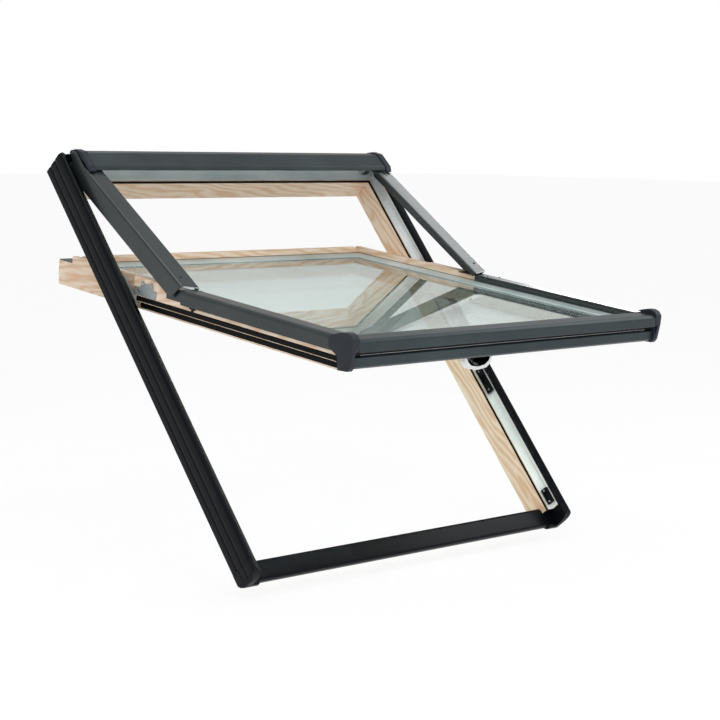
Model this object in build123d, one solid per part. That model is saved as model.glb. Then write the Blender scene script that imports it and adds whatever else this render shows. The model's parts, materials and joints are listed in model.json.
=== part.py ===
from build123d import *
import os

# A high-pivot roof window: an outer frame that lies in the roof, a glazed sash that turns on two
# curved-track hinges, and two side arms that are hinged under the hood and glide on the sash.
# Everything is drawn closed and flat, in millimetres: x across from the middle, y up the slope
# from the collar's lower edge, z out of the roof from the collar's back. At the end the sash and
# the arms are opened and the whole is tilted to the roof.
width = 940.0
height = 1044.0
roof_pitch = 50.0
sash_open = 43.72
arm_open = 15.96

# The hinge axes, up the slope and out of the roof
pivot_up = 682.4
pivot_out = 57.55
arm_hinge_up = 990.0
arm_hinge_out = 75.0

# Frame section: depths count inward from the collar's outside, heights out of the roof
half = width / 2
wood_back = -22.3
wood_outside = 10.0
wood_inside = 40.0
back_step = 24.0
ledge_height = 33.0
lip_inside = 18.0
lip_height = 55.0
ridge_height = 67.0
collar_inside = 20.0
collar_edge = 60.6
head_depth = 61.0
liner = 1.2
liner_ledge_end = 34.5
bead_start = 34.7
bead_width = 5.2
bead_height = 36.2

# Low sill and the corner blocks beside it
sill_start = 10.0
sill_end = 38.0
sill_back_start = 14.0
sill_back_end = 34.0
sill_wood_height = 12.0
sill_height = 20.5
corner_length = 24.0
corner_wood_height = 16.0
rebate_start = 26.5

# Sash section
sash_outside = 30.0
sash_slim = 41.5
sash_top_height = 87.0
cover_seat_height = 83.7
lip_bottom = 37.0
upstand_inside = 55.0
rail_inside = 92.0
glass_seat = 41.5
sash_room_depth = 43.0
sash_room_height = 17.5
sash_bottom = -657.0
sash_top = 294.0
ridge_top = 243.0
top_lip_height = 72.0
ridge_notch = 76.5
bottom_room_height = 22.5
neck_start = -120.0
cover_start = -190.0

# Glass unit: two 4 mm panes and a 16 mm gap
glass_edge = 58.0
pane = 4.0
glass_back = 42.0
glass_front = 66.0
glass_low = -643.0
glass_high = 227.0

# Arms: a channel that is open towards the roof
arm_outer = 22.1
arm_inner = 63.9
arm_low = 46.8
arm_top = 88.9
arm_sheet = 1.7
arm_length = 443.0
flange_length = 11.0

# Curved-track hinge
track_inner = 20.0
track_outer = 31.5
track_rib = 2.5
track_gap = 0.3
hinge_low = 640.0
hinge_high = 728.0
pocket_back = 25.5
pocket_inside = 31.2
hinge_plate_depth = 23.6


def filled(points, radius=0.0):
    if radius == 0.0:
        return make_face(Polyline(*points, close=True))
    return make_face(FilletPolyline(*points, radius=radius, close=True))


def sheet(points, thickness, radius):
    return trace(FilletPolyline(*points, radius=radius), line_width=thickness)


# A left-hand bar: the section is drawn as (depth from the outside, height)
def side_bar(section, low, high):
    place = Plane((-half, high, 0), x_dir=(1, 0, 0), z_dir=(0, -1, 0))
    return place * extrude(section, high - low)


# A cross bar: the section is drawn as (up the slope, height), and both ends lie at one depth
def cross_bar(section, depth, until=None):
    end = width - depth if until is None else until
    place = Plane((depth - half, 0, 0), x_dir=(0, 1, 0), z_dir=(1, 0, 0))
    return place * extrude(section, end - depth)


def box(depth, until, low, high, back, front):
    middle = ((depth + until) / 2 - half, (low + high) / 2, (back + front) / 2)
    return Pos(*middle) * Box(until - depth, high - low, front - back)


def cross_pin(depth, until, up, out, radius):
    place = Plane((depth - half, up, out), x_dir=(0, 1, 0), z_dir=(1, 0, 0))
    return place * extrude(Circle(radius), until - depth)


def from_top(points):
    return [(height - depth, out) for depth, out in points]


def on_sash(points):
    return [(pivot_up + up, pivot_out + out) for up, out in points]


def right_of(piece):
    return mirror(piece, about=Plane.YZ)


# Pine members of the frame: the side bars run through, the head and the sill stand between them
def frame_stile():
    back_part = box(back_step, wood_inside, sill_back_start, height - back_step, wood_back, 0)
    low_part = box(wood_outside, wood_inside, sill_start, height - wood_outside, 0,
                   corner_wood_height)
    section = filled([(wood_outside, corner_wood_height), (wood_inside, corner_wood_height),
                      (wood_inside, ledge_height), (lip_inside, ledge_height),
                      (lip_inside, lip_height), (wood_outside, lip_height)])
    pocket = box(lip_inside, pocket_inside, hinge_low, hinge_high, pocket_back, lip_height)
    return back_part + low_part + side_bar(section, rebate_start, height - wood_outside) - pocket


def frame_head():
    lower = filled(from_top([(back_step, wood_back), (head_depth, wood_back),
                             (head_depth, ledge_height), (wood_outside, ledge_height),
                             (wood_outside, 0), (back_step, 0)]))
    upper = filled(from_top([(wood_outside, ledge_height), (lip_inside, ledge_height),
                             (lip_inside, lip_height), (wood_outside, lip_height)]))
    return cross_bar(lower, wood_inside) + cross_bar(upper, lip_inside)


def frame_sill():
    section = filled([(sill_back_start, wood_back), (sill_back_end, wood_back),
                      (sill_end, wood_back + 4), (sill_end, sill_wood_height),
                      (sill_start, sill_wood_height), (sill_start, 0), (sill_back_start, 0)])
    return cross_bar(section, wood_inside)


# Folded aluminium that lines the rebate
def liner_side():
    wall = lip_inside + liner / 2
    ledge = ledge_height + liner / 2
    section = sheet([(wall, lip_height), (wall, ledge), (liner_ledge_end, ledge)], liner, 0.7)
    ledge_stop = height - head_depth + bead_width
    top_wall = box(lip_inside, lip_inside + liner, ledge_stop, height - lip_inside,
                   ledge_height, lip_height)
    gap = box(lip_inside + liner, liner_ledge_end + 1, hinge_low, hinge_high, ledge_height - 1,
              ledge_height + 3)
    return side_bar(section, rebate_start, ledge_stop) + top_wall - gap


def liner_head():
    wall = lip_inside + liner / 2
    ledge = ledge_height + liner / 2
    path = from_top([(wall, lip_height), (wall, ledge), (head_depth - bead_width - 0.2, ledge)])
    return cross_bar(sheet(path, liner, 0.7), lip_inside + liner)


def bead_points(start):
    return [(start, ledge_height), (start, ledge_height + 2), (start + 2.4, bead_height),
            (start + bead_width, bead_height - 1), (start + bead_width, ledge_height)]


def frame_gasket():
    side = side_bar(filled(bead_points(bead_start)), rebate_start, height - head_depth + 2)
    head_start = head_depth - bead_width
    head = cross_bar(filled(from_top(bead_points(head_start))), bead_start)
    return side + right_of(side) + head


def sill_gasket():
    section = filled([(sill_end, 11), (sill_end + 1.6, 12), (sill_end + 2.2, 16),
                      (sill_end + 0.8, 18.5), (sill_end, 17)])
    return cross_bar(section, wood_inside)


# The black collar round the frame, with two long grooves in its outer face
def collar_points():
    outer = [(0, 0)]
    for start in (15.0, 36.0):
        outer += [(0, start), (1.2, start + 1.5), (1.2, start + 6), (0, start + 7.5)]
    return outer + [(0, 60), (2.5, 64.5), (6, ridge_height), (8.5, ridge_height),
                    (collar_inside, collar_edge)]


def collar_section():
    inner = [(collar_inside, lip_height), (wood_outside, lip_height), (wood_outside, 0)]
    return collar_points() + inner


def full_collar():
    return filled(collar_points() + [(collar_inside, 0)])


def collar_side():
    end = side_bar(full_collar(), height - wood_outside, height)
    return side_bar(filled(collar_section()), corner_length, height - wood_outside) + end


def collar_head():
    return cross_bar(filled(from_top(collar_section())), collar_inside)


sill_collar_points = [(0, 0), (-4.5, 6), (-5.5, 13), (-3.5, 18.5), (1, sill_height),
                      (34, 19.2), (sill_end, 17)]


def collar_sill():
    under = [(sill_end, sill_wood_height), (sill_start, sill_wood_height), (sill_start, 0)]
    return cross_bar(filled(sill_collar_points + under), wood_inside)


# The moulded block where a side ridge runs out over the low sill. A thin upright stops the
# rebate's end
block_nose = -12.0


def corner_block():
    full = side_bar(full_collar(), block_nose, corner_length)
    side_view = [(corner_length, 0), (0, 0), (-9, 10), (-11, 20), (-11, 38), (-8, 52), (-3, 61),
                 (4, ridge_height), (corner_length, ridge_height)]
    ridge = full & cross_bar(filled(side_view), 0, collar_inside)
    low_view = [(0, 0), (-6, 3), (-10.5, 10), (-10.5, 17), (-5, 21.5), (12, 21.2),
                (corner_length, sill_height), (corner_length, 0)]
    low = cross_bar(filled(low_view), 0, wood_inside)
    block = ridge + low
    block -= box(wood_outside, wood_inside, sill_start, corner_length + 1, -1,
                 corner_wood_height)
    plan = Plane.XY * Rectangle(60, 60, align=(Align.MIN, Align.MIN))
    plan = fillet(plan.vertices().group_by(Axis.X)[0].sort_by(Axis.Y)[0], 13)
    block &= Pos(-half, block_nose, -1) * extrude(plan, ridge_height + 2)
    block += box(lip_inside, wood_inside, corner_length - 0.5, rebate_start,
                 corner_wood_height, sill_height)
    return block + box(lip_inside, wood_inside, corner_length + 0.6, rebate_start,
                       corner_wood_height, bead_height)


# The hood over the frame's head, a folded sheet between two moulded ends. The arms' tops pass
# outside the ends, so the ends are open underneath
hood_path = [(970, 99.6), (964, 99.6), (974, 105.8), (1014, 100.6), (1031, 87), (1040, 68.5)]
hood_end_outline = [(1043.5, 68), (1043.5, 75), (1034, 90), (1016, 104), (974, 109), (962, 103.5),
                    (962.5, 99.4), (972, 98.8), (990, 97), (1006, 92), (1016, 83), (1028, 68)]
hood_end_radii = [1, 3, 5, 8, 5, 2, 1, 4, 6, 6, 5, 1]
hood_end_outside = 24.5
hood_end_inside = 40.7


def hood_cover():
    return cross_bar(sheet(hood_path, 2.0, [1.5, 4, 6, 5]), hood_end_inside)


def hood_end():
    outline = filled(hood_end_outline, hood_end_radii)
    return cross_bar(outline, hood_end_outside, hood_end_inside - 0.2)


# Brackets that carry the hood and the arm's hinge pin, standing on the head's rebate
plate_outline = [(1024, 34.4), (1024, 60), (1000, 82), (986, 83.5), (983, 76), (985, 68),
                 (1002, 57), (1006, 34.4)]


def arm_hinge():
    plates = [cross_bar(filled(plate_outline, 1.5), depth, depth + 3) for depth in (31, 52)]
    foot = box(31, 55, 1006, 1024, 34.2, 36.4)
    pin = cross_pin(24.8, 61.4, arm_hinge_up, arm_hinge_out, 4.0)
    return plates[0] + plates[1] + foot + pin


def hood_bracket(middle):
    path = [(1022, 36), (1022, 70), (1010, 97.8), (1000, 99.8)]
    return cross_bar(sheet(path, 2.0, 3), middle - 15, middle + 15)


# Curved-track hinge: the frame's half has two ribs round the pivot, the sash's shoe slides
# between them, and both stay under the arm's side when it's closed
def ring_part(inner, outer, start, end, depth, until):
    sector = make_face(Polyline((0, 0), *[(60 * x, 60 * y) for x, y in
                                          (unit(start), unit((start + end) / 2), unit(end))],
                                close=True))
    ring = (Circle(outer) - Circle(inner)) & sector
    place = Plane((depth - half, pivot_up, pivot_out), x_dir=(0, 1, 0), z_dir=(1, 0, 0))
    return place * extrude(ring, until - depth)


def unit(angle):
    turned = Vector(0, -1, 0).rotate(Axis.Z, angle)
    return turned.X, turned.Y


def frame_hinge():
    plate_view = [(643, 30), (646, 52), (656, 59), (712, 59), (724, 52), (724, 40), (708, 27),
                  (652, 26.5)]
    plate = cross_bar(filled(plate_view, 3), lip_inside + liner, 20.9)
    plate -= box(lip_inside, collar_inside + 0.1, hinge_low, hinge_high, lip_height - 0.2, 62)
    inner = ring_part(track_inner, track_inner + track_rib, -62, 18, 20.9, 28.3)
    outer = ring_part(track_outer - track_rib, track_outer, -68, 18, 20.9, 28.3)
    under_arm = box(20.9, 28.3, hinge_low, hinge_high, pocket_back, arm_low - 0.5)
    upper_view = [(646, 43), (643, 53), (650, 60), (715, 60), (724, 53), (719, 45), (664, 45)]
    upper_plate = cross_bar(filled(upper_view, [2, 4, 4, 4, 4, 2, 2]), hinge_plate_depth, 25.6)
    return plate + ((inner + outer) & under_arm) + upper_plate


def sash_hinge():
    shoe = ring_part(track_inner + track_rib + track_gap, track_outer - track_rib - track_gap,
                     -8, 8, 21.3, 28.9)
    view = [(9, -29), (-9, -29), (-13, -8), (-30, -4), (-86, -4), (-86, 9), (-66, 9), (-62, 20),
            (-44, 20), (-40, 9), (-8, 9), (-5, -5)]
    plate = cross_bar(filled(on_sash(view), 1.5), 28.9, sash_outside)
    return plate + shoe


# Keepers for the sash's catches, on the rebate's wall
def keeper(low, high, back, front):
    body = box(lip_inside + liner, 27, low, high, back, front)
    middle = (low + high) / 2
    slot = box(22, 28, middle - 12, middle + 12, back + 4, front + 1)
    return body - slot


# Pine members of the sash
def sash_stile():
    def section(outside, top):
        return filled([(outside, lip_bottom), (outside, top), (upstand_inside, top),
                       (upstand_inside, glass_seat), (rail_inside, glass_seat),
                       (rail_inside, sash_room_height + 4), (rail_inside - 4, sash_room_height),
                       (sash_room_depth, sash_room_height), (sash_room_depth, lip_bottom)])
    wide = side_bar(section(sash_outside, cover_seat_height), pivot_up + sash_bottom,
                    pivot_up + neck_start)
    middle = side_bar(section(sash_outside, sash_top_height), pivot_up + neck_start,
                      pivot_up - 5)
    slim = side_bar(section(sash_slim, sash_top_height), pivot_up - 5, pivot_up + sash_top)
    stile = wide + middle + slim
    stile -= box(0, 100, pivot_up + ridge_top, pivot_up + sash_top + 5, top_lip_height, 100)
    stile -= box(40, 100, pivot_up + sash_bottom - 5, pivot_up - 640, 0, bottom_room_height)
    return stile


def sash_top_rail():
    room_side = filled([(pivot_up + up, out) for up, out in
                        [(193, 21.5), (193, glass_seat), (sash_top, glass_seat),
                         (sash_top, lip_bottom), (286, lip_bottom), (286, sash_room_height),
                         (197, sash_room_height)]])
    upstand = filled([(pivot_up + up, out) for up, out in
                      [(230, glass_seat), (230, ridge_notch), (ridge_top, ridge_notch),
                       (ridge_top, top_lip_height), (sash_top, top_lip_height),
                       (sash_top, glass_seat)]])
    ridge = box(arm_inner + 2.1, width - arm_inner - 2.1, pivot_up + 230, pivot_up + ridge_top,
                ridge_notch - 1, sash_top_height)
    return cross_bar(room_side, rail_inside) + cross_bar(upstand, upstand_inside) + ridge


def sash_bottom_rail():
    room_side = filled([(pivot_up + up, out) for up, out in
                        [(sash_bottom, bottom_room_height), (sash_bottom, glass_seat),
                         (-602, glass_seat), (-602, 26.5), (-606, bottom_room_height)]])
    upstand = filled([(pivot_up + up, out) for up, out in
                      [(sash_bottom, glass_seat), (sash_bottom, 62), (-646, 62),
                       (-646, glass_seat)]])
    return cross_bar(room_side, rail_inside) + cross_bar(upstand, upstand_inside)


def glass_pane(back):
    return box(glass_edge, width - glass_edge, pivot_up + glass_low, pivot_up + glass_high,
               back, back + pane)


def glass_spacer():
    low = pivot_up + glass_low + 9
    high = pivot_up + glass_high - 9
    back = glass_back + pane
    front = glass_front - pane
    outer = box(glass_edge + 9, width - glass_edge - 9, low, high, back, front)
    inner = box(glass_edge + 16, width - glass_edge - 16, low + 7, high - 7, back - 1, front + 1)
    return outer - inner


# Aluminium profile that holds the glass, sloping down to it on all four sides
def glazing_points(start):
    return [(start, glass_front + 0.3), (start, 72.8), (start + 2, 72.8), (start + 27, 68.8),
            (start + 29, 67.6), (start + 29, glass_front + 0.3)]


def glazing_profile():
    low = pivot_up + glass_low
    high = pivot_up + 229
    side = side_bar(filled(glazing_points(56)), low, high)
    bottom = cross_bar(filled([(low + x - 1, y) for x, y in glazing_points(0)]), 56)
    top = cross_bar(filled([(high - x, y) for x, y in glazing_points(0)]), 56)
    return side + right_of(side) + bottom + top


def glazing_gasket():
    low = pivot_up + glass_low
    high = pivot_up + 230
    strip = box(upstand_inside, 56, low, high, glass_front + 0.3, 73.6)
    top = box(56, width - 56, high - 1, high, glass_front + 0.3, 73.6)
    return strip + right_of(strip) + top


# Aluminium covers over the sash's sides
def side_cover():
    path = [(21.9, 57), (21.9, 86.6), (58.4, 86.6), (58.4, 81.5), (60.1, 78), (60.1, 74)]
    section = sheet(path, 1.8, [8, 1.2, 1.5, 1.5])
    cover = side_bar(section, pivot_up + sash_bottom + 0.5, pivot_up + cover_start)
    return cover - box(20, cap_step + 0.3, pivot_up + sash_bottom, pivot_up - 644.5, 50, 100)


def cover_neck():
    section = sheet([(29.3, 60), (29.3, 84.4), (57.6, 84.4)], 1.2, 0.7)
    return side_bar(section, pivot_up + cover_start + 0.5, pivot_up + neck_start - 1)


def top_cover():
    section = sheet(on_sash([(244, 18.8), (244, 15.3), (293, 15.3)]), 1.4, 1)
    return cross_bar(section, sash_slim)


# Bottom of the sash: two aluminium covers on a dark core, with a drain groove between them
bottom_depth = 52.0


def bottom_cover_upper():
    path = on_sash([(-645, 17.8), (-655, 27.6), (-694, 28), (-700, 23), (-700, 5.1),
                    (-689, 3.9)])
    cover = cross_bar(sheet(path, 2.0, [4, 5, 4, 1.5]), bottom_depth)
    beside_cover = box(bottom_depth - 1, 61.4, pivot_up - 658, pivot_up - 640, 60, 100)
    return cover - beside_cover - right_of(beside_cover)


def bottom_cover_lower():
    path = on_sash([(-661, -27), (-684, -28.6), (-690, -24.2), (-690, -7.2), (-681, -6.2)])
    return cross_bar(sheet(path, 2.0, [3, 3, 1.5]), bottom_depth)


def bottom_core():
    points = on_sash([(-657, -24), (-657, 23), (-680, 25.5), (-680, 2.8), (-685, 1.8),
                      (-685, -4.2), (-680, -5), (-680, -24)])
    return cross_bar(filled(points), bottom_depth)


# Moulded end caps of the sash's lower edge: a rounded lobe over a stepped lower part. The outer
# part reaches further back, over the side cover's end
cap_front = [(-672, 39), (-686, 41), (-698, 38), (-708, 29), (-708.5, 11), (-703, 5.5),
             (-691, 2.5), (-691, -4.5), (-697, -8), (-697, -24), (-690, -30), (-664, -34)]
cap_front_radii = [8, 14, 10, 8, 4, 2, 1.5, 0.6, 2, 4, 2, 1]
cap_step = 29.5


def end_cap():
    outer = filled(on_sash([(-651, -4), (-647, 15), (-657, 35)] + cap_front),
                   [3, 6, 5] + cap_front_radii)
    inner = filled(on_sash([(-659, -22), (-659, 33)] + cap_front), [1, 3] + cap_front_radii)
    return cross_bar(outer, 20.9, cap_step) + cross_bar(inner, cap_step, bottom_depth - 0.2)


# Gasket along the sash's side, wrapped round the lip's lower edge
def sash_gasket():
    under = lip_bottom - 0.4
    inner = sash_room_depth - 1.4
    outline = filled([(sash_outside, 48), (28.7, 46.5), (28.7, 38), (sash_outside, under),
                      (inner, under), (inner, 21.5), (sash_room_depth, 21),
                      (sash_room_depth, lip_bottom), (sash_outside, lip_bottom)])
    return side_bar(outline, pivot_up + sash_bottom + 1, pivot_up - 95)


# Arms: an open channel with a steel hinge end. Its outer wall runs on past the hinge as a cheek
# beside the hood's end
arm_cheek = [(980, arm_low), (1002, arm_low), (1021, 70), (1022, 79), (1037, 84), (1031, 98),
             (1018, 100.5), (985, 93), (966, 89.7), (966, 80)]
arm_cheek_radii = [1, 6, 3, 3, 2, 6, 5, 20, 1, 1]


def arm_channel():
    path = [(arm_outer, arm_low), (arm_outer, arm_top), (arm_inner, arm_top),
            (arm_inner, arm_top - flange_length)]
    section = sheet(path, arm_sheet, [5, 3])
    low = arm_hinge_up - arm_length
    channel = side_bar(section, low, arm_hinge_up + 12)
    cut = filled([(low - 1, arm_top + 2), (low + 3, arm_top + 2), (low - 1, arm_low - 2)])
    cheek = cross_bar(filled(arm_cheek, arm_cheek_radii), arm_outer - arm_sheet / 2,
                      arm_outer + arm_sheet / 2)
    return channel + cheek - cross_bar(cut, 10, 80)


def arm_end():
    view = [(arm_hinge_up - 60, 82), (arm_hinge_up - 60, 86.2), (arm_hinge_up + 8, 86.2),
            (arm_hinge_up + 8, 70), (arm_hinge_up - 6, 68), (arm_hinge_up - 14, 82)]
    cheeks = [cross_bar(filled(view), depth, depth + 3) for depth in (25.5, 57.5)]
    bridge = box(25.5, 60.5, arm_hinge_up - 60, arm_hinge_up - 16, 84.6, 86.2)
    end = cheeks[0] + cheeks[1] + bridge
    for up in (arm_hinge_up - 50, arm_hinge_up - 26):
        end += Pos(43 - half, up, 87.1) * Cylinder(6, arm_top - arm_sheet / 2 - 86.2)
    return end - cross_pin(20, 70, arm_hinge_up, arm_hinge_out, 4.05)


# Pull handle under the sash's bottom rail: a bow that swings on two pins of its base
handle_middle = 446.0
handle_half = 37.0
handle_axis_up = pivot_up - 613
handle_axis_out = 13.4
handle_pin = 2.2


def handle_base():
    plate = box(handle_middle - 36, handle_middle + 36, handle_axis_up - 20, handle_axis_up + 7,
                bottom_room_height - 4, bottom_room_height)
    for side in (-1, 1):
        inner = handle_middle + side * 18
        outer = handle_middle + side * 27
        plate += box(min(inner, outer), max(inner, outer), handle_axis_up - 4,
                     handle_axis_up + 4, handle_axis_out - 3.5, bottom_room_height - 3)
    pin = cross_pin(handle_middle - handle_half - 1, handle_middle - 18, handle_axis_up,
                    handle_axis_out, handle_pin)
    other_pin = cross_pin(handle_middle + 18, handle_middle + handle_half + 1, handle_axis_up,
                          handle_axis_out, handle_pin)
    return plate + pin + other_pin


def handle_bow():
    path = [(handle_middle - handle_half, handle_axis_out), (handle_middle - 23, -1),
            (handle_middle + 23, -1), (handle_middle + handle_half, handle_axis_out)]
    arc = sheet([(x - half, y) for x, y in path], 6.0, 12)
    bow = Plane((0, handle_axis_up + 7, 0), x_dir=(1, 0, 0), z_dir=(0, -1, 0)) * extrude(arc, 14)
    for side in (-1, 1):
        eye = handle_middle + side * (handle_half - 3)
        bow += cross_pin(eye - 4.5, eye + 4.5, handle_axis_up, handle_axis_out, 4.4)
    return bow - cross_pin(handle_middle - 60, handle_middle + 60, handle_axis_up,
                           handle_axis_out, handle_pin + 0.1)


def both_sides(name, piece, pieces):
    pieces[name + "_left"] = piece
    pieces[name + "_right"] = right_of(piece)


def frame_pieces():
    pieces = {"frame_head": frame_head(), "frame_sill": frame_sill(),
              "liner_head": liner_head(), "frame_gasket": frame_gasket(),
              "sill_gasket": sill_gasket(), "collar_head": collar_head(),
              "collar_sill": collar_sill(), "hood_cover": hood_cover()}
    both_sides("frame_stile", frame_stile(), pieces)
    both_sides("liner", liner_side(), pieces)
    both_sides("collar", collar_side(), pieces)
    both_sides("corner_block", corner_block(), pieces)
    both_sides("hood_end", hood_end(), pieces)
    both_sides("hood_bracket", hood_bracket(260), pieces)
    both_sides("arm_hinge", arm_hinge(), pieces)
    both_sides("frame_hinge", frame_hinge(), pieces)
    both_sides("keeper_upper", keeper(345, 412, 35, 52), pieces)
    both_sides("keeper_lower", keeper(38, 76, 35, 52), pieces)
    return pieces


def sash_pieces():
    pieces = {"sash_top_rail": sash_top_rail(), "sash_bottom_rail": sash_bottom_rail(),
              "glass_inner": glass_pane(glass_back), "glass_outer": glass_pane(glass_front - pane),
              "glass_spacer": glass_spacer(), "glazing_profile": glazing_profile(),
              "glazing_gasket": glazing_gasket(), "top_cover": top_cover(),
              "bottom_cover_upper": bottom_cover_upper(),
              "bottom_cover_lower": bottom_cover_lower(), "bottom_core": bottom_core(),
              "handle_base": handle_base()}
    both_sides("sash_stile", sash_stile(), pieces)
    both_sides("side_cover", side_cover(), pieces)
    both_sides("cover_neck", cover_neck(), pieces)
    both_sides("end_cap", end_cap(), pieces)
    both_sides("sash_gasket", sash_gasket(), pieces)
    both_sides("sash_hinge", sash_hinge(), pieces)
    return pieces


def arm_pieces():
    pieces = {}
    both_sides("arm", arm_channel(), pieces)
    both_sides("arm_end", arm_end(), pieces)
    return pieces


# The turned part goes about an axis across the window, given up the slope and out of the roof
def turned(up, out, angle):
    return Pos(0, up, out) * Rot(X=-angle) * Pos(0, -up, -out)


# The origin is the middle of the sill's back face
def write(pieces, turn):
    tilt = Rot(X=roof_pitch) * Pos(0, -(sill_start + sill_end) / 2, -wood_back)
    for name, piece in pieces.items():
        export_step(tilt * turn * piece, os.path.join("parts", name + ".step"))


os.makedirs("parts", exist_ok=True)
write(frame_pieces(), Pos(0, 0, 0))
write(sash_pieces() | {"handle_bow": handle_bow()}, turned(pivot_up, pivot_out, sash_open))
write(arm_pieces(), turned(arm_hinge_up, arm_hinge_out, arm_open))
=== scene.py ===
import bpy
import bmesh
import json
import math
from mathutils import Matrix, Vector


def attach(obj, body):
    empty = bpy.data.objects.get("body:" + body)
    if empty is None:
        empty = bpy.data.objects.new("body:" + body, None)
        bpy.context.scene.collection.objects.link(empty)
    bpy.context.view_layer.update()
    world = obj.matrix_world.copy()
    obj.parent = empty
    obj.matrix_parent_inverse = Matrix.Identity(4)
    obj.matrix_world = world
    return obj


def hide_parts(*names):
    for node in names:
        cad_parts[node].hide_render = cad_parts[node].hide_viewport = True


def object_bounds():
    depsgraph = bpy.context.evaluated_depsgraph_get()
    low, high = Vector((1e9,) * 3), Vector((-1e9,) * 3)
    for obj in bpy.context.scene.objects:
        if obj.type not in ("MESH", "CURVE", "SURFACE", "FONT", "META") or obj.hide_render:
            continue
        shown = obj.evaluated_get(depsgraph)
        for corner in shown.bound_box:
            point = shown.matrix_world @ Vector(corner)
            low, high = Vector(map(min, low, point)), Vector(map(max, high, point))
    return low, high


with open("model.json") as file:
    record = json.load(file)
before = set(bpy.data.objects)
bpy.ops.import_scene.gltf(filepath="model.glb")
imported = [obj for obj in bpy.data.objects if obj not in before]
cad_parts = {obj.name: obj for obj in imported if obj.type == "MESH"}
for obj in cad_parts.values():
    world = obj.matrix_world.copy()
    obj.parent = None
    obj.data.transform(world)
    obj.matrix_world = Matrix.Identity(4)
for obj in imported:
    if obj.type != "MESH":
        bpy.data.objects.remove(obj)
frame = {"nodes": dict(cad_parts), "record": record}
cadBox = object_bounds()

record = frame["record"]
nodes = frame["nodes"]
bodyOf = {name: body for body, names in record["behaviour"]["bodies"].items()
          for name in names}

print("frame loaded,", len(nodes), "nodes")


# Places on the window are given lying flat and closed, in millimetres: depth inwards from the
# left outside, up the slope and out of the roof. On the sash and on an arm the last two count
# from the pivot
roofPitch = math.radians(50.0)
sashOpen = math.radians(43.72)
armOpen = math.radians(15.96)
halfWidth = 470
origin = (24.0, -22.3)
pivotOf = {"frame": (0, 0), "sash": (682.4, 57.55), "arm": (990.0, 75.0)}


def pointOn(where, depth, up, out):
    pivot = pivotOf[where]
    return Vector((depth - halfWidth, pivot[0] + up, pivot[1] + out)) / 1000


def opened(where, angle):
    pivot = Vector((0, pivotOf[where][0] / 1000, pivotOf[where][1] / 1000))
    turn = Matrix.Rotation(-angle, 4, "X")
    return Matrix.Translation(pivot) @ turn @ Matrix.Translation(-pivot)


flatToRoof = (Matrix.Rotation(roofPitch, 4, "X")
              @ Matrix.Translation((0, -origin[0] / 1000, -origin[1] / 1000)))
placeOf = {
    "frame": flatToRoof,
    "sash": flatToRoof @ opened("sash", sashOpen),
    "handle": flatToRoof @ opened("sash", sashOpen),
    "arm_l": flatToRoof @ opened("arm", armOpen),
    "arm_r": flatToRoof @ opened("arm", armOpen),
}


def colour(code):
    parts = [int(code[i:i + 2], 16) / 255 for i in (0, 2, 4)]
    line = [part / 12.92 if part < 0.04045 else ((part + 0.055) / 1.055) ** 2.4
            for part in parts]
    return (*line, 1.0)


# Small helpers for node trees
class Finish:
    def __init__(self, name):
        self.material = bpy.data.materials.new(name)
        self.material.use_nodes = True
        self.tree = self.material.node_tree
        self.shader = self.tree.nodes["Principled BSDF"]
        self.output = self.tree.nodes["Material Output"]

    def node(self, kind, **values):
        made = self.tree.nodes.new(kind)
        for key, value in values.items():
            setattr(made, key, value)
        return made

    def link(self, source, target):
        self.tree.links.new(source, target)

    # Object coordinates, first turned to lie along the members, then stretched
    def place(self, turn=0.0, scale=(1, 1, 1)):
        coordinates = self.node("ShaderNodeTexCoord")
        mapping = self.node("ShaderNodeMapping")
        mapping.inputs["Rotation"].default_value = (-turn, 0, 0)
        stretch = self.node("ShaderNodeMapping")
        stretch.inputs["Scale"].default_value = scale
        self.link(coordinates.outputs["Object"], mapping.inputs["Vector"])
        self.link(mapping.outputs["Vector"], stretch.inputs["Vector"])
        return stretch.outputs["Vector"]

    # The same for a pattern that runs up the slope, or across the window
    def grain(self, turn, across, wide, long):
        return self.place(turn, (long, wide, wide) if across else (wide, long, wide))

    def noise(self, where, scale, detail=3.0, roughness=0.5):
        made = self.node("ShaderNodeTexNoise")
        made.inputs["Scale"].default_value = scale
        made.inputs["Detail"].default_value = detail
        made.inputs["Roughness"].default_value = roughness
        self.link(where, made.inputs["Vector"])
        return made.outputs["Fac"]

    def ramp(self, factor, stops):
        made = self.node("ShaderNodeValToRGB")
        elements = made.color_ramp.elements
        for index, (position, code) in enumerate(stops):
            if index < 2:
                element = elements[index]
                element.position = position
            else:
                element = elements.new(position)
            element.color = colour(code)
        self.link(factor, made.inputs["Fac"])
        return made.outputs["Color"]

    def range(self, factor, low, high, fromLow=0.3, fromHigh=0.7):
        made = self.node("ShaderNodeMapRange")
        made.inputs["From Min"].default_value = fromLow
        made.inputs["From Max"].default_value = fromHigh
        made.inputs["To Min"].default_value = low
        made.inputs["To Max"].default_value = high
        self.link(factor, made.inputs["Value"])
        return made.outputs["Result"]

    def bump(self, height, strength, distance):
        made = self.node("ShaderNodeBump")
        made.inputs["Strength"].default_value = strength
        made.inputs["Distance"].default_value = distance
        self.link(height, made.inputs["Height"])
        self.link(made.outputs["Normal"], self.shader.inputs["Normal"])

    def give(self, **values):
        names = {"metallic": "Metallic", "ior": "IOR", "specular": "Specular IOR Level",
                 "coat": "Coat Weight", "coatRoughness": "Coat Roughness",
                 "transmission": "Transmission Weight", "roughness": "Roughness"}
        for key, value in values.items():
            self.shader.inputs[names[key]].default_value = value


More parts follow.
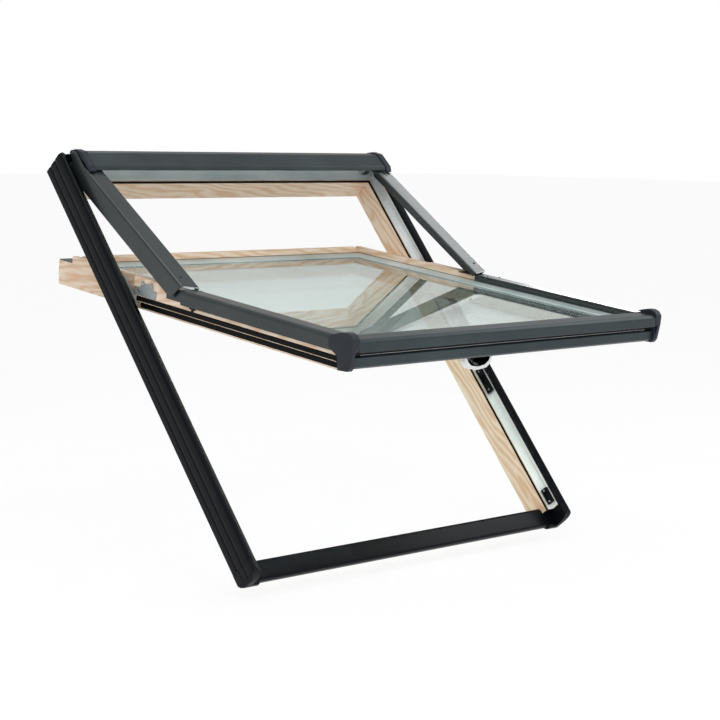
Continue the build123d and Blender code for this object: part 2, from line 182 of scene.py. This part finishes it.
# Pine: wavy rings and fine streaks along the member
def makePine(name, turn, across=False):
    values = {"pale": "ecdac8", "middle": "e4ccb4", "ring": "dab796", "streak": "e6d2bc",
              "ringStretch": (18, 3.6), "ringScale": 1.9, "waviness": 12.0, "ringDetail": 2.0,
              "ringDetailScale": 0.8, "swirlScale": 1.6, "swirlShare": 0.35,
              "streakStretch": (60, 1.2), "streakScale": 6.0, "streakShare": 0.5,
              "roughness": (0.38, 0.52), "relief": (0.12, 0.0004), "coat": 0.25}
    pine = Finish(name)
    where = pine.grain(turn, across, *values["ringStretch"])
    swirl = pine.noise(where, values["swirlScale"], 4.0, 0.55)
    fine = pine.noise(pine.grain(turn, across, *values["streakStretch"]),
                      values["streakScale"], 4.0, 0.7)
    wave = pine.node("ShaderNodeTexWave", wave_type="BANDS", bands_direction="DIAGONAL")
    wave.inputs["Scale"].default_value = values["ringScale"]
    wave.inputs["Distortion"].default_value = values["waviness"]
    wave.inputs["Detail"].default_value = values["ringDetail"]
    wave.inputs["Detail Scale"].default_value = values["ringDetailScale"]
    pine.link(where, wave.inputs["Vector"])
    tone = pine.node("ShaderNodeMix", data_type="FLOAT")
    tone.inputs["Factor"].default_value = values["swirlShare"]
    pine.link(wave.outputs["Fac"], tone.inputs[2])
    pine.link(swirl, tone.inputs[3])
    base = pine.ramp(tone.outputs[0], [(0.12, values["ring"]), (0.42, values["middle"]),
                                       (0.8, values["pale"])])
    streaks = pine.ramp(fine, [(0.3, values["streak"]), (0.75, "ffffff")])
    blend = pine.node("ShaderNodeMix", data_type="RGBA", blend_type="MULTIPLY")
    blend.inputs["Factor"].default_value = values["streakShare"]
    pine.link(base, blend.inputs[6])
    pine.link(streaks, blend.inputs[7])
    pine.link(blend.outputs[2], pine.shader.inputs["Base Color"])
    pine.link(pine.range(fine, *values["roughness"]), pine.shader.inputs["Roughness"])
    pine.bump(fine, *values["relief"])
    pine.give(coat=values["coat"], coatRoughness=0.3)
    return pine.material


# Coated or bare metal: a cloudy tone and fine lines along the profile
def makeMetal(name, turn, dark, pale, metallic=0.6, roughness=(0.32, 0.45), lines=0.06,
              across=False, coat=0.0, specular=0.5):
    values = {"cloudStretch": (3, 3, 3), "cloudScale": 2.5, "lineStretch": (420, 1.5),
              "lineScale": 2.0, "lineDepth": 0.0002, "coatRoughness": 0.25}
    metal = Finish(name)
    cloud = metal.noise(metal.place(turn, values["cloudStretch"]), values["cloudScale"])
    metal.link(metal.ramp(cloud, [(0.3, dark), (0.7, pale)]), metal.shader.inputs["Base Color"])
    brushed = metal.noise(metal.grain(turn, across, *values["lineStretch"]),
                          values["lineScale"], 2.0)
    metal.link(metal.range(brushed, *roughness), metal.shader.inputs["Roughness"])
    metal.bump(brushed, lines, values["lineDepth"])
    metal.give(metallic=metallic, coat=coat, coatRoughness=values["coatRoughness"],
               specular=specular)
    return metal.material


# Moulded plastic or rubber: fine grain, a little uneven sheen
def makeMoulded(name, dark, pale, roughness=(0.35, 0.5), specular=0.4):
    values = {"cloudStretch": (6, 6, 6), "cloudScale": 3.0, "skinScale": 900,
              "relief": (0.08, 0.0002)}
    moulded = Finish(name)
    cloud = moulded.noise(moulded.place(0, values["cloudStretch"]), values["cloudScale"])
    moulded.link(moulded.ramp(cloud, [(0.35, dark), (0.7, pale)]),
                 moulded.shader.inputs["Base Color"])
    skin = moulded.noise(moulded.place(), values["skinScale"], 2.0)
    moulded.link(moulded.range(skin, *roughness), moulded.shader.inputs["Roughness"])
    moulded.bump(skin, *values["relief"])
    moulded.give(specular=specular)
    return moulded.material


# Glass lets lamp light through without a dark shadow
def makeGlass(name, turn):
    values = {"tint": "e6f2ee", "haze": "f4faf8", "shadow": "f0f6f3", "smearStretch": (2, 5, 2),
              "smearScale": 1.5, "ior": 1.45}
    glass = Finish(name)
    smear = glass.noise(glass.place(turn, values["smearStretch"]), values["smearScale"], 2.0)
    glass.link(glass.ramp(smear, [(0.3, values["tint"]), (0.7, values["haze"])]),
               glass.shader.inputs["Base Color"])
    glass.give(transmission=1.0, roughness=0.0, ior=values["ior"])
    path = glass.node("ShaderNodeLightPath")
    clear = glass.node("ShaderNodeBsdfTransparent")
    clear.inputs["Color"].default_value = colour(values["shadow"])
    mix = glass.node("ShaderNodeMixShader")
    glass.link(path.outputs["Is Shadow Ray"], mix.inputs[0])
    glass.link(glass.shader.outputs[0], mix.inputs[1])
    glass.link(clear.outputs[0], mix.inputs[2])
    glass.link(mix.outputs[0], glass.output.inputs["Surface"])
    return glass.material


sashTurn = roofPitch - sashOpen
armTurn = roofPitch - armOpen
finishes = {
    "pineFrameSides": makePine("pineFrameSides", roofPitch),
    "pineFrameAcross": makePine("pineFrameAcross", roofPitch, across=True),
    "pineSashSides": makePine("pineSashSides", sashTurn),
    "pineSashAcross": makePine("pineSashAcross", sashTurn, across=True),
    "anthraciteArms": makeMetal("anthraciteArms", armTurn, "262c2d", "31383a", coat=0.5),
    "anthraciteSides": makeMetal("anthraciteSides", sashTurn, "242b2d", "2f3739", coat=0.5),
    "anthraciteAcross": makeMetal("anthraciteAcross", sashTurn, "2c3538", "374144",
                                  across=True),
    "anthraciteHood": makeMetal("anthraciteHood", roofPitch, "2f3638", "3a4244", across=True),
    "collarBlack": makeMetal("collarBlack", roofPitch, "040508", "080a10", metallic=0.0,
                             roughness=(0.28, 0.38), lines=0.03, specular=0.12),
    "linerSides": makeMetal("linerSides", roofPitch, "d9dede", "f4f6f6", metallic=0.45,
                            roughness=(0.25, 0.4), lines=0.1),
    "linerAcross": makeMetal("linerAcross", roofPitch, "cbd8d8", "e9f0f0", metallic=0.2,
                             roughness=(0.25, 0.4), lines=0.1, across=True),
    "glazingPale": makeMetal("glazingPale", sashTurn, "a9b9b9", "cfdada", metallic=0.4,
                             roughness=(0.3, 0.42), lines=0.04),
    "zincPlate": makeMetal("zincPlate", roofPitch, "757d80", "a3abad", metallic=0.35,
                           roughness=(0.25, 0.38), lines=0.08),
    "steelDark": makeMetal("steelDark", roofPitch, "2a3034", "4b5357", metallic=0.9,
                           roughness=(0.3, 0.42), lines=0.05),
    "steelBright": makeMetal("steelBright", roofPitch, "9aa0a3", "d5d8da", metallic=1.0,
                             roughness=(0.2, 0.35), lines=0.1),
    "capPlastic": makeMoulded("capPlastic", "171b22", "20252e", specular=0.3),
    "blackPlastic": makeMoulded("blackPlastic", "040509", "090b10", specular=0.15),
    "seal": makeMoulded("seal", "040506", "090a0c", roughness=(0.5, 0.65), specular=0.12),
    "handleSilver": makeMetal("handleSilver", sashTurn, "c6cacc", "eef0f0", metallic=0.8,
                              roughness=(0.2, 0.35), lines=0.05),
    "glassPane": makeGlass("glassPane", -sashTurn),
}

finishOf = {
    "frame_head": "pineFrameAcross", "frame_sill": "pineFrameAcross",
    "frame_stile": "pineFrameSides", "sash_stile": "pineSashSides",
    "sash_top_rail": "pineSashAcross", "sash_bottom_rail": "pineSashAcross",
    "collar_head": "collarBlack", "collar_sill": "collarBlack", "collar": "collarBlack",
    "corner_block": "blackPlastic", "bottom_core": "blackPlastic",
    "keeper_upper": "blackPlastic", "keeper_lower": "blackPlastic",
    "end_cap": "capPlastic", "hood_end": "capPlastic", "hood_cover": "anthraciteHood",
    "side_cover": "anthraciteSides", "cover_neck": "anthraciteSides",
    "top_cover": "anthraciteAcross", "bottom_cover_upper": "anthraciteAcross",
    "bottom_cover_lower": "anthraciteAcross", "arm": "anthraciteArms",
    "liner_head": "linerAcross", "liner": "linerSides", "glazing_profile": "glazingPale",
    "glass_spacer": "steelBright", "hood_bracket": "steelBright",
    "arm_hinge": "steelBright", "frame_hinge": "zincPlate", "sash_hinge": "zincPlate",
    "arm_end": "steelBright", "frame_gasket": "seal", "sill_gasket": "seal",
    "sash_gasket": "seal", "glazing_gasket": "seal", "glass_inner": "glassPane",
    "glass_outer": "glassPane", "handle_base": "blackPlastic", "handle_bow": "handleSilver",
}


def stemOf(name):
    for side in ("_left", "_right"):
        if name.endswith(side):
            return name[:-len(side)]
    return name


def dressNodes():
    for name, node in nodes.items():
        node.data.materials.clear()
        node.data.materials.append(finishes[finishOf[stemOf(name)]])


# How far the edges of a node are eased, in millimetres
easedEdges = {
    "frame_head": 1.2, "frame_sill": 1.0, "frame_stile": 1.2, "sash_stile": 1.6,
    "sash_top_rail": 1.6, "sash_bottom_rail": 1.6, "collar_head": 0.9, "collar_sill": 0.9,
    "collar": 0.9, "corner_block": 1.2, "hood_end": 0.8, "hood_cover": 0.3,
    "side_cover": 0.3, "cover_neck": 0.25, "top_cover": 0.25, "bottom_cover_upper": 0.3,
    "bottom_cover_lower": 0.3, "arm": 0.3, "glazing_profile": 0.5, "keeper_upper": 0.8,
    "keeper_lower": 0.8, "sash_hinge": 0.2, "frame_hinge": 0.2, "handle_base": 0.4,
    "arm_hinge": 0.3, "arm_end": 0.2, "sash_gasket": 0.2, "bottom_core": 0.2,
}


# The arm's lower end is cut slanting, back towards its outer wall's lower corner
def cutArmEnd(form):
    values = {"innerTop": (64, -439, 14.75), "outerTop": (21.3, -430, 14.75),
              "outerBottom": (21.3, -414, -28.2)}
    inner, outer, corner = [pointOn("arm", *place) for place in values.values()]
    normal = (outer - inner).cross(corner - inner).normalized()
    if normal.y > 0:
        normal.negate()
    cut = bmesh.ops.bisect_plane(form, geom=form.verts[:] + form.edges[:] + form.faces[:],
                                 plane_co=inner, plane_no=normal, clear_outer=True)
    edges = [item for item in cut["geom_cut"] if isinstance(item, bmesh.types.BMEdge)]
    bmesh.ops.holes_fill(form, edges=edges)


# The upper end of a sash piece, all that lies past a place on the sash, moves up the slope
def moveUpperEnd(past, distance):
    def move(form):
        for vertex in form.verts:
            if vertex.co.y > (pivotOf["sash"][0] + past) / 1000:
                vertex.co.y += distance / 1000
    return move


# Both ends of a piece across the bottom rail come to one depth
def setEnds(depth, endsBeyond=417.5):
    def move(form):
        for vertex in form.verts:
            if abs(vertex.co.x) > endsBeyond / 1000:
                vertex.co.x = math.copysign((halfWidth - depth) / 1000, vertex.co.x)
    return move


reshapes = {"arm": cutArmEnd, "side_cover": moveUpperEnd(-191, 11),
            "sash_gasket": moveUpperEnd(-100, 77), "bottom_cover_upper": setEnds(38.2),
            "bottom_cover_lower": setEnds(33.2), "bottom_core": setEnds(40.4)}


def mirrorForm(form):
    bmesh.ops.scale(form, vec=(-1, 1, 1), verts=form.verts)
    bmesh.ops.reverse_faces(form, faces=form.faces)


# A copy is reshaped lying flat and closed, as a left-hand piece
def reshape(form, name):
    place = placeOf[bodyOf[name]]
    bmesh.ops.transform(form, matrix=place.inverted(), verts=form.verts)
    right = name.endswith("_right")
    if right:
        mirrorForm(form)
    reshapes[stemOf(name)](form)
    if right:
        mirrorForm(form)
    bmesh.ops.transform(form, matrix=place, verts=form.verts)


def addPiece(name, mesh, finish, body):
    piece = bpy.data.objects.new(name, mesh)
    bpy.context.scene.collection.objects.link(piece)
    mesh.materials.clear()
    mesh.materials.append(finishes[finish])
    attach(piece, body)
    return piece


def easeEdges(piece, width):
    bevel = piece.modifiers.new("easedEdges", "BEVEL")
    bevel.width = width / 1000
    bevel.segments = 2
    bevel.limit_method = "ANGLE"
    bevel.angle_limit = math.radians(35)


def smoothMesh(form, name):
    for face in form.faces:
        face.smooth = True
    mesh = bpy.data.meshes.new(name)
    form.to_mesh(mesh)
    form.free()
    return mesh


# A node's copy is merged, since the node is loose triangles, and takes the node's place
def easeNode(name, width):
    values = {"merge": 0.005, "flat": 1.0}
    form = bmesh.new()
    form.from_mesh(nodes[name].data)
    bmesh.ops.remove_doubles(form, verts=form.verts, dist=values["merge"] / 1000)
    bmesh.ops.dissolve_limit(form, angle_limit=math.radians(values["flat"]), verts=form.verts,
                             edges=form.edges)
    if stemOf(name) in reshapes:
        reshape(form, name)
    mesh = smoothMesh(form, name + "_eased")
    piece = addPiece(name + "_eased", mesh, finishOf[stemOf(name)], bodyOf[name])
    easeEdges(piece, width)
    normals = piece.modifiers.new("flatFaces", "WEIGHTED_NORMAL")
    normals.keep_sharp = True
    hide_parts(name)


def easeNodes():
    for name in nodes:
        if stemOf(name) in easedEdges:
            easeNode(name, easedEdges[stemOf(name)])


dressNodes()
easeNodes()
print("materials and eased edges on the frame's nodes")


# Corners of an outline are (first, second, radius), and each is eased with a short curve
def rounded(corners, steps=5, mostOfSide=0.49):
    line = []
    for index, corner in enumerate(corners):
        middle = Vector(corner[:2])
        back = Vector(corners[index - 1][:2]) - middle
        onward = Vector(corners[(index + 1) % len(corners)][:2]) - middle
        before = back.normalized()
        after = onward.normalized()
        away = min(corner[2] / math.tan(before.angle(after) / 2), mostOfSide * back.length,
                   mostOfSide * onward.length)
        start = middle + before * away
        end = middle + after * away
        for step in range(steps + 1):
            share = step / steps
            line.append(start.lerp(middle, share).lerp(middle.lerp(end, share), share))
    return line


screwHead = {"segments": 20, "taper": 0.8, "rim": 0.4, "recess": 0.5}
screwTurns = {"out": 0.0, "left": -90.0, "inside": 90.0}


# New pieces are drawn on the left half, and mirrored for the right
class Drawing:
    def __init__(self, name, where, side, finish, slot):
        self.name = name
        self.where = where
        self.side = side
        self.finish = finish
        self.slot = slot
        self.form = bmesh.new()

    def point(self, depth, up, out):
        return pointOn(self.where, depth, up, out)

    def block(self, depths, ups, outs):
        low = self.point(depths[0], ups[0], outs[0])
        high = self.point(depths[1], ups[1], outs[1])
        size = high - low
        place = Matrix.Translation((low + high) / 2) @ Matrix.Diagonal((*size, 1))
        bmesh.ops.create_cube(self.form, size=1.0, matrix=place)

    def extrude(self, corners, vector):
        face = self.form.faces.new(corners)
        made = bmesh.ops.extrude_face_region(self.form, geom=[face])
        moved = [item for item in made["geom"] if isinstance(item, bmesh.types.BMVert)]
        bmesh.ops.translate(self.form, verts=moved, vec=vector)

    # An outline of (up, out) pairs between two depths, or of (depth, up) pairs between two heights
    def plate(self, outline, low, high, flat=False):
        corners = []
        for along, across in outline:
            place = (along, across, low) if flat else (low, along, across)
            corners.append(self.form.verts.new(self.point(*place)))
        rise = (high - low) / 1000
        self.extrude(corners, (0, 0, rise) if flat else (rise, 0, 0))
        bmesh.ops.recalc_face_normals(self.form, faces=self.form.faces)

    # A flat head with a sunk middle
    def screw(self, place, towards, radius, rise):
        turned = (Matrix.Translation(self.point(*place))
                  @ Matrix.Rotation(math.radians(screwTurns[towards]), 4, "Y"))
        made = bmesh.ops.create_cone(self.form, cap_ends=True, segments=screwHead["segments"],
                                     radius1=radius / 1000,
                                     radius2=radius * screwHead["taper"] / 1000,
                                     depth=rise / 1000, matrix=turned)
        faces = {face for vertex in made["verts"] for face in vertex.link_faces}
        away = turned.to_3x3() @ Vector((0, 0, 1))
        top = max(faces, key=lambda face: face.calc_center_median().dot(away))
        bmesh.ops.inset_region(self.form, faces=[top], thickness=radius * screwHead["rim"] / 1000)
        bmesh.ops.translate(self.form, verts=top.verts,
                            vec=away * (-screwHead["recess"] * rise / 1000))

    def finishPiece(self, edge=0.0):
        body = self.where
        if self.where == "arm":
            body = "arm_l" if self.side == "left" else "arm_r"
        if self.side == "right":
            mirrorForm(self.form)
        bmesh.ops.transform(self.form, matrix=placeOf[body], verts=self.form.verts)
        mesh = smoothMesh(self.form, self.name)
        piece = addPiece(self.name, mesh, self.finish, body)
        if edge:
            easeEdges(piece, edge)
        piece.modifiers.new("flatFaces", "WEIGHTED_NORMAL")
        return piece


# Screws that face out of the roof are placed by (depth, up), the others by (up, out)
screwGroups = {
    "arm_screw": {"where": "arm", "finish": "steelDark", "towards": "out", "face": 15.15,
                  "radius": 2.8, "rise": 1.4, "places": [(38.5, -401)]},
    "cover_screws": {"where": "sash", "finish": "steelDark", "towards": "out", "face": 30.15,
                     "radius": 2.2, "rise": 1.4, "left": [(56.0, -200.0)],
                     "right": [(46.4, -206.4), (25.6, -224.7)]},
    "hinge_screws": {"where": "sash", "finish": "steelBright", "towards": "left", "face": 27.5,
                     "radius": 3.4, "rise": 1.8,
                     "places": [(-28, 3), (-60, 3), (-38, 17), (-68, 17)]},
    "track_screws": {"where": "frame", "finish": "steelDark", "towards": "left", "face": 23.5,
                     "radius": 2.2, "rise": 0.8, "places": [(656, 52), (683, 53.5), (710, 52)]},
    "keeper_screws": {"where": "frame", "finish": "steelBright", "towards": "inside",
                      "face": 27.3, "radius": 2.6, "rise": 1.4,
                      "places": [(353, 43.5), (404, 43.5), (43, 43.5), (71, 43.5)]},
}


def makeScrews(side):
    for name, values in screwGroups.items():
        group = Drawing(name + "_" + side, values["where"], side, values["finish"], "steel")
        for pair in values.get(side, values.get("places")):
            out = values["towards"] == "out"
            place = (*pair, values["face"]) if out else (values["face"], *pair)
            group.screw(place, values["towards"], values["radius"], values["rise"])
        group.finishPiece()


# Small parts beside the profiles: a catch below the cover, the arm's bare lower edge in pale
# metal, which also paints in the highlight seen along that edge, the pale strip between the sash's
# two side seals and the line of pine along the rebate
def makeSmallParts(side):
    values = {"catch": ((28.2, 30.4), (-220, -200), (-6, 1)),
              "tongue": ((28.6, 30.2), (-214, -206), (-12, -6)), "catchEdge": 0.6,
              "armBareEdgeAndHighlight": [(27, -431.2), (62, -438.6), (62, -439.5), (27, -432.1)],
              "armBareEdgeAndHighlightHeights": (13.3, 14.7),
              "sealStrip": ((28.35, 28.8), (-652, -24), (-20.9, -20.0)),
              "rebateLine": ((31.4, 34.5), (28, 986), (34.2, 34.5))}
    catch = Drawing("side_catch_" + side, "sash", side, "blackPlastic", "black_plastic")
    catch.block(*values["catch"])
    catch.block(*values["tongue"])
    catch.finishPiece(values["catchEdge"])
    # Pale metal on the arm's lower end edge: bare cut metal, and also a painted highlight along
    # that edge
    edge = Drawing("arm_bare_edge_and_highlight_" + side, "arm", side, "linerSides", "plain_aluminium")
    edge.plate(values["armBareEdgeAndHighlight"], *values["armBareEdgeAndHighlightHeights"], flat=True)
    edge.finishPiece()
    strip = Drawing("seal_strip_" + side, "sash", side, "pineSashSides", "pine")
    strip.block(*values["sealStrip"])
    strip.finishPiece()
    line = Drawing("rebate_line_" + side, "frame", side, "pineFrameSides", "pine")
    line.block(*values["rebateLine"])
    line.finishPiece()


# Ears and body of the hinge's plate on the sash's side
def makeHingePlate(side):
    values = {"outline": [(-12, -7, 2), (-84, -9, 3), (-86, 6, 3), (-74, 9, 2), (-73, 18, 1),
                          (-73, 24, 4), (-63, 24, 4), (-63, 18, 1), (-61, 10, 2), (-45, 10, 2),
                          (-43, 18, 1), (-43, 24, 4), (-33, 24, 4), (-33, 18, 1), (-31, 10, 2),
                          (-10, 8, 2)],
              "depths": (28.0, 28.9), "edge": 0.2}
    plate = Drawing("hinge_ears_" + side, "sash", side, "zincPlate", "steel")
    plate.plate(rounded(values["outline"]), *values["depths"])
    plate.finishPiece(values["edge"])


# The cap closes the bottom rail's end: a plate over the whole profile that reaches back over the
# side cover's end, a sleeve on each of the rail's two covers, and a plug between them
def makeEndCap(side):
    values = {"plate": [(-660, -9, 4), (-648, -2, 6), (-636, 3, 6), (-631, 14, 5), (-634, 27, 5),
                        (-657, 35, 6), (-672, 39, 8), (-684, 40, 12), (-695, 37, 9),
                        (-701.8, 29, 7), (-701.8, 11, 14), (-697.5, -24, 18), (-691, -31.5, 2),
                        (-664, -34, 1)],
              "upperSleeve": [(-660, 3, 1), (-660, 34, 3), (-672, 39, 8), (-684, 40, 12),
                              (-695, 37, 9), (-701.8, 29, 7), (-701.8, 11, 4), (-698, 4.5, 3),
                              (-689, 3, 1)],
              "lowerSleeve": [(-664, -33, 1), (-664, 2, 1), (-694, 2.5, 1.5), (-694, -5, 0.6),
                              (-697.5, -8, 2), (-697.5, -24, 4), (-691, -31.5, 2)],
              "plug": [(-664, 2.4), (-683, 2.4), (-683, -4.6), (-679, -5), (-679, -23),
                       (-664, -23)],
              "plateDepths": (20.9, 29.6), "upperDepths": (29.6, 38.0),
              "lowerDepths": (29.6, 33.0), "plugDepths": (33.0, 40.3), "edge": 0.8}
    cap = Drawing("end_cap_shaped_" + side, "sash", side, "capPlastic", "grey_plastic")
    cap.plate(rounded(values["plate"]), *values["plateDepths"])
    cap.plate(rounded(values["upperSleeve"]), *values["upperDepths"])
    cap.plate(rounded(values["lowerSleeve"]), *values["lowerDepths"])
    cap.plate(values["plug"], *values["plugDepths"])
    piece = cap.finishPiece(values["edge"])
    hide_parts("end_cap_" + side)


# A bow drawn as (across from its middle, out), with an eye at each end
def makeHandle():
    values = {"outer": [(-40, 14, 1), (-38, 0, 8), (-27, -12, 14), (0, -16, 30), (27, -12, 14),
                        (38, 0, 8), (40, 14, 1)],
              "inner": [(33, 14, 1), (30, 3, 6), (20, -5, 10), (0, -8.5, 26), (-20, -5, 10),
                        (-30, 3, 6), (-33, 14, 1)],
              "middle": -24.0, "axisUp": pivotOf["sash"][0] - 613.0, "axisOut": 13.4,
              "half": 8.0, "eyeRadius": 4.6, "eyeWidth": 9.0, "eyeAway": 34.5, "edge": 1.6}
    bow = Drawing("pull_handle", "handle", "left", "handleSilver", "handle_metal")
    low = values["axisUp"] - values["half"]
    corners = [bow.form.verts.new(Vector((values["middle"] + across, low, out)) / 1000)
               for across, out in rounded(values["outer"] + values["inner"])]
    bow.extrude(corners, (0, 2 * values["half"] / 1000, 0))
    for end in (-1, 1):
        place = Vector((values["middle"] + end * values["eyeAway"], values["axisUp"],
                        values["axisOut"])) / 1000
        bmesh.ops.create_cone(bow.form, cap_ends=True, segments=28,
                              radius1=values["eyeRadius"] / 1000,
                              radius2=values["eyeRadius"] / 1000,
                              depth=values["eyeWidth"] / 1000,
                              matrix=Matrix.Translation(place)
                              @ Matrix.Rotation(math.radians(90), 4, "Y"))
    bmesh.ops.recalc_face_normals(bow.form, faces=bow.form.faces)
    piece = bow.finishPiece(values["edge"])
    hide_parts("handle_bow")


# The line of pine along the head's rebate, and a pale metal strip in the drain groove that is a
# painted highlight, standing for the row of bright glints there
def makeCrossLines():
    values = {"headLine": ((34, 906), (988.4, 991.4), (34.2, 34.5)),
              "grooveHighlightStrip": ((56, 884), (-686.2, -685.0), (-3.8, -3.1))}
    line = Drawing("head_rebate_line", "frame", "left", "pineFrameAcross", "pine")
    line.block(*values["headLine"])
    line.finishPiece()
    # Painted highlight: this pale strip stands for the glints along the drain groove, not for a
    # real part
    groove = Drawing("groove_highlight_strip", "sash", "left", "linerSides", "plain_aluminium")
    groove.block(*values["grooveHighlightStrip"])
    groove.finishPiece()


for side in ("left", "right"):
    makeScrews(side)
    makeSmallParts(side)
    makeHingePlate(side)
    makeEndCap(side)
makeHandle()
makeCrossLines()
print("screws, caps, handle and small parts")


# The floor looks white to the camera, in reflections and through glass, and keeps its shadows
def makeFloor():
    values = {"size": 40.0, "below": 0.02, "glow": 0.9, "dark": "f0f0f0", "pale": "f8f8f8",
              "patchScale": 3.0, "roughness": 0.9, "specular": 0.1}
    form = bmesh.new()
    bmesh.ops.create_grid(form, x_segments=2, y_segments=2, size=values["size"])
    bmesh.ops.translate(form, verts=form.verts, vec=(0, 0, cadBox[0].z - values["below"]))
    mesh = bpy.data.meshes.new("floor")
    form.to_mesh(mesh)
    form.free()
    floor = bpy.data.objects.new("floor", mesh)
    bpy.context.scene.collection.objects.link(floor)
    pale = Finish("paleFloor")
    patches = pale.noise(pale.place(), values["patchScale"])
    pale.link(pale.ramp(patches, [(0.3, values["dark"]), (0.7, values["pale"])]),
              pale.shader.inputs["Base Color"])
    pale.give(roughness=values["roughness"], specular=values["specular"])
    path = pale.node("ShaderNodeLightPath")
    direct = pale.node("ShaderNodeMath", operation="MAXIMUM")
    seen = pale.node("ShaderNodeMath", operation="MAXIMUM")
    pale.link(path.outputs["Is Camera Ray"], direct.inputs[0])
    pale.link(path.outputs["Is Glossy Ray"], direct.inputs[1])
    pale.link(direct.outputs[0], seen.inputs[0])
    pale.link(path.outputs["Is Transmission Ray"], seen.inputs[1])
    share = pale.node("ShaderNodeMath", operation="MULTIPLY")
    pale.link(seen.outputs[0], share.inputs[0])
    share.inputs[1].default_value = values["glow"]
    glow = pale.node("ShaderNodeEmission")
    glow.inputs["Strength"].default_value = 1.0
    mix = pale.node("ShaderNodeMixShader")
    pale.link(share.outputs[0], mix.inputs[0])
    pale.link(pale.shader.outputs[0], mix.inputs[1])
    pale.link(glow.outputs[0], mix.inputs[2])
    pale.link(mix.outputs[0], pale.output.inputs["Surface"])
    mesh.materials.append(pale.material)


# White behind the window, and a softer pale light on it
def makeWorld():
    values = {"light": "f1f4f4", "strength": 0.7}
    world = bpy.data.worlds.new("studio")
    bpy.context.scene.world = world
    world.use_nodes = True
    tree = world.node_tree
    tree.nodes.clear()
    output = tree.nodes.new("ShaderNodeOutputWorld")
    path = tree.nodes.new("ShaderNodeLightPath")
    lit = tree.nodes.new("ShaderNodeBackground")
    lit.inputs["Color"].default_value = colour(values["light"])
    lit.inputs["Strength"].default_value = values["strength"]
    white = tree.nodes.new("ShaderNodeBackground")
    white.inputs["Color"].default_value = (1, 1, 1, 1)
    white.inputs["Strength"].default_value = 1.0
    seen = tree.nodes.new("ShaderNodeMath")
    seen.operation = "MAXIMUM"
    tree.links.new(path.outputs["Is Camera Ray"], seen.inputs[0])
    tree.links.new(path.outputs["Is Transmission Ray"], seen.inputs[1])
    mix = tree.nodes.new("ShaderNodeMixShader")
    tree.links.new(seen.outputs[0], mix.inputs[0])
    tree.links.new(lit.outputs[0], mix.inputs[1])
    tree.links.new(white.outputs[0], mix.inputs[2])
    tree.links.new(mix.outputs[0], output.inputs["Surface"])


# The two sheen lamps show only as a reflection, in the right arm and on the right cover
lamps = {
    "overheadSoftbox": {"place": (-0.6, -0.6, 3.6), "aim": (0, 0.1, 0.4), "size": (3.0, 3.0),
                        "power": 66},
    "frontLeftFill": {"place": (-3.4, -2.2, 1.8), "aim": (0, 0.2, 0.4), "size": (1.6, 1.6),
                      "power": 20},
    "lowFrontFill": {"place": (-1.2, -3.4, 0.5), "aim": (0, 0.3, 0.6), "size": (2.0, 1.0),
                     "power": 46},
    "rightFill": {"place": (3.0, -0.8, 2.2), "aim": (0, 0.1, 0.4), "size": (1.6, 2.2),
                  "power": 20},
    "armSheen": {"place": (1.75, 0.6, 1.8), "aim": (0.42, 0.2, 0.78), "size": (1.1, 0.9),
                 "power": 8, "sheenOnly": True},
    "coverSheen": {"place": (2.8, 1.22, 1.1), "aim": (0.42, -0.1, 0.45), "size": (1.2, 1.1),
                   "power": 30, "sheenOnly": True},
}


def makeLights():
    sheenPieces = bpy.data.collections.new("sheenPieces")
    for piece in ("arm_right_eased", "side_cover_right_eased"):
        sheenPieces.objects.link(bpy.data.objects[piece])
    for name, values in lamps.items():
        lamp = bpy.data.lights.new(name, "AREA")
        lamp.shape = "RECTANGLE"
        lamp.size, lamp.size_y = values["size"]
        lamp.energy = values["power"]
        holder = bpy.data.objects.new(name, lamp)
        bpy.context.scene.collection.objects.link(holder)
        place = Vector(values["place"])
        holder.location = place
        towards = Vector(values["aim"]) - place
        holder.rotation_euler = towards.to_track_quat("-Z", "Y").to_euler()
        if values.get("sheenOnly"):
            holder.visible_diffuse = False
            holder.light_linking.receiver_collection = sheenPieces


# The camera stands low on the left, at the photograph's angle
def makeCamera():
    values = {"place": (-2.72614, -2.81935, 0.86415), "turn": (83.3731, -0.7992, -42.6574),
              "lens": 92.738, "sensor": 36.0}
    camera = bpy.data.cameras.new("camera")
    camera.sensor_width = values["sensor"]
    camera.lens = values["lens"]
    holder = bpy.data.objects.new("camera", camera)
    bpy.context.scene.collection.objects.link(holder)
    holder.location = values["place"]
    holder.rotation_euler = [math.radians(angle) for angle in values["turn"]]
    bpy.context.scene.camera = holder


makeFloor()
makeWorld()
makeLights()
makeCamera()
bpy.context.scene.view_settings.view_transform = "Standard"
print("stage, lights and camera")
